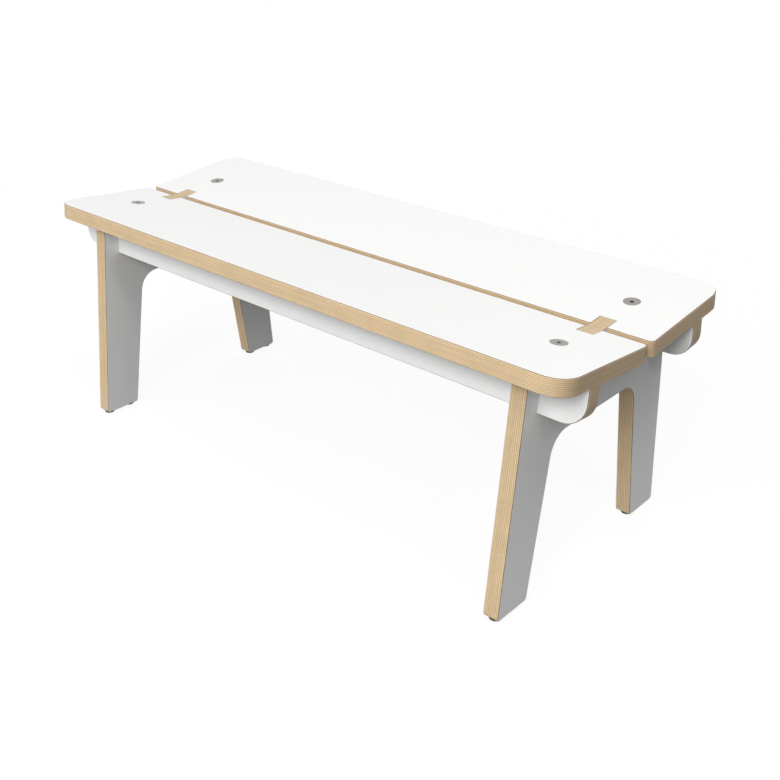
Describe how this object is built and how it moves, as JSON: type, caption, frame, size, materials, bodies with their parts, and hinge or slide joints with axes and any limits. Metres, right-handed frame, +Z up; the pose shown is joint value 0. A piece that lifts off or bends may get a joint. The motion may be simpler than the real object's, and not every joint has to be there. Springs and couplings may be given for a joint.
{
  "type": "knock-down plywood bench",
  "caption": "Free-standing plywood bench: two planks dished to a central slot, two arched leg panels with tenons through the seat, two edge-on rails halved into the panels, flush bolts.",
  "frame": {"origin": "on the floor, under the middle of the bench", "axes": "+X along the bench, +Y across it towards the rear plank, +Z up"},
  "size_m": [1.203, 0.4824, 0.4491],
  "materials": {
    "faced_plywood": "matt white laminate faces, bare sealed birch ply edges",
    "bolt_steel": "zinc plated, satin",
    "nail_steel": "plain drawn",
    "black_plastic": "moulded, matt"
  },
  "bodies": {
    "root": {"seat_plank_front": "faced_plywood", "seat_plank_rear": "faced_plywood", "leg_panel_left": "faced_plywood", "leg_panel_right": "faced_plywood", "rail_front": "faced_plywood", "rail_rear": "faced_plywood", "glide_left_front_inner": "black_plastic", "glide_left_front_outer": "black_plastic", "glide_left_rear_inner": "black_plastic", "glide_left_rear_outer": "black_plastic", "glide_right_front_inner": "black_plastic", "glide_right_front_outer": "black_plastic", "glide_right_rear_inner": "black_plastic", "glide_right_rear_outer": "black_plastic", "connector_bolts": "bolt_steel", "barrel_nuts": "bolt_steel", "glide_nails": "nail_steel"}
  },
  "joints": []
}
